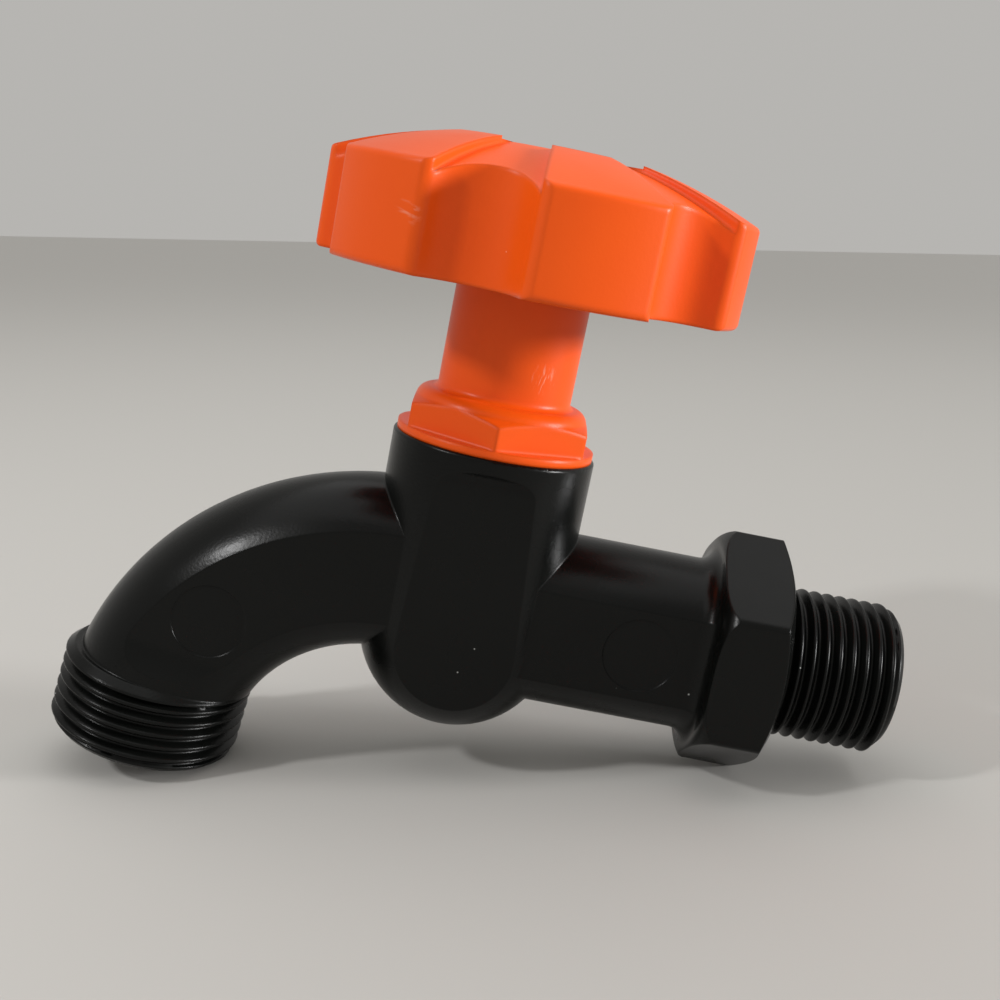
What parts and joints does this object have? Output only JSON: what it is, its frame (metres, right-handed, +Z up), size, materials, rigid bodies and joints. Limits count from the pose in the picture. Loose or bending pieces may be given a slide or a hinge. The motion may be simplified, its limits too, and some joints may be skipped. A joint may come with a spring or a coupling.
{
  "type": "plastic tap",
  "caption": "Screw-down garden tap with a black body, curved spout, threaded inlet and outlet, orange bonnet and a lobed orange knob that turns and rises to open.",
  "frame": {"origin": "on the inlet axis, at the shoulder of the hexagon flange where the inlet thread begins", "axes": "+X out along the inlet thread, +Z up along the spindle, the spout points to -X"},
  "size_m": [0.1148, 0.0568, 0.0918],
  "materials": {
    "black_plastic": "fine moulded grain",
    "orange_plastic": "satin",
    "white_plastic": "satin",
    "rubber": "matt",
    "brass": "turned",
    "steel": "plain"
  },
  "bodies": {
    "tap": {"body": "black_plastic", "bonnet": "orange_plastic", "bonnet_seal": "rubber"},
    "valve": {"jumper": "white_plastic", "seat_washer": "rubber", "washer_nut": "brass"},
    "handle": {"spindle": "white_plastic", "spindle_seal_lower": "rubber", "spindle_seal_upper": "rubber", "knob": "orange_plastic", "knob_screw": "steel"}
  },
  "joints": [
    {"name": "valve_rise", "type": "slide", "parent": "tap", "child": "valve", "axis": [0, 0, 1], "range_m": [0, 0.005]},
    {"name": "handle_turn", "type": "hinge", "parent": "valve", "child": "handle", "pos_m": [-0.0434, 0, 0.0442], "axis": [0, 0, 1], "range_deg": [0, 720]}
  ],
  "couplings": [
    {"joint": "valve_rise", "follows": "handle_turn", "m_per_rad": 0.00039788}
  ]
}
